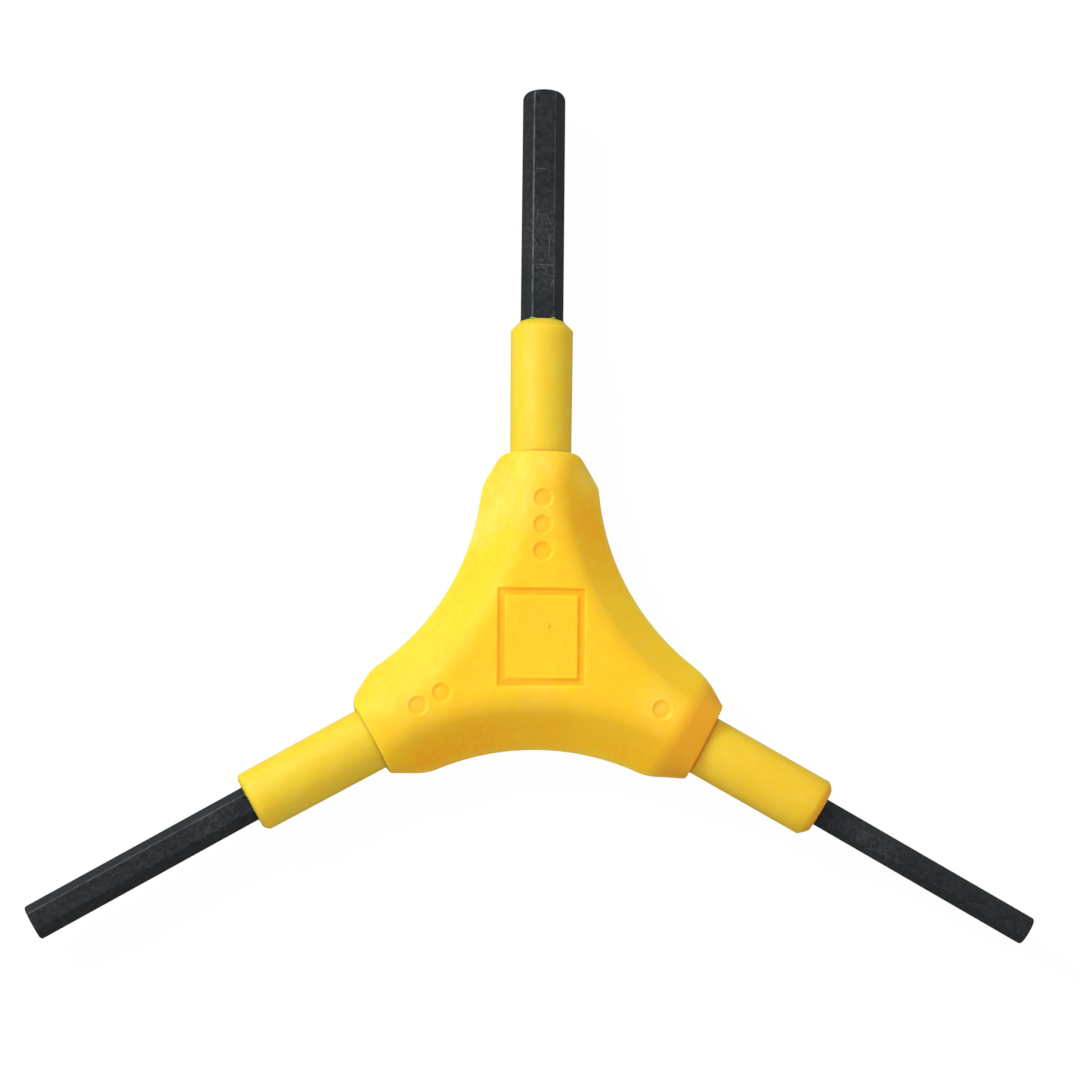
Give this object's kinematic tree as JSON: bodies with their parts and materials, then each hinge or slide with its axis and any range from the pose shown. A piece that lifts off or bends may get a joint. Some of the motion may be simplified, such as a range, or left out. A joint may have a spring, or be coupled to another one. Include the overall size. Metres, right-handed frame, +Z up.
{
  "type": "y hex wrench",
  "caption": "Y-shaped hex wrench: a moulded grip with concave sides holds a black steel hex key of its own size in a round sleeve at the end of each arm.",
  "frame": {"origin": "hub axis on the flat underside, where the three key axes meet seen from above", "axes": "+Z up out of the flat top with the size dots, +Y along the largest key, +X completes the frame between the two smaller keys"},
  "size_m": [0.1562, 0.1368, 0.0145],
  "materials": {
    "grip_plastic": "satin moulded, warm yellow",
    "sleeve_plastic": "satin moulded, lemon yellow",
    "key_steel": "black oxide with worn edges"
  },
  "bodies": {
    "root": {"grip_body": "grip_plastic", "sleeve_6mm": "sleeve_plastic", "sleeve_5mm": "sleeve_plastic", "sleeve_4mm": "sleeve_plastic", "hex_key_6mm": "key_steel", "hex_key_5mm": "key_steel", "hex_key_4mm": "key_steel"}
  },
  "joints": []
}
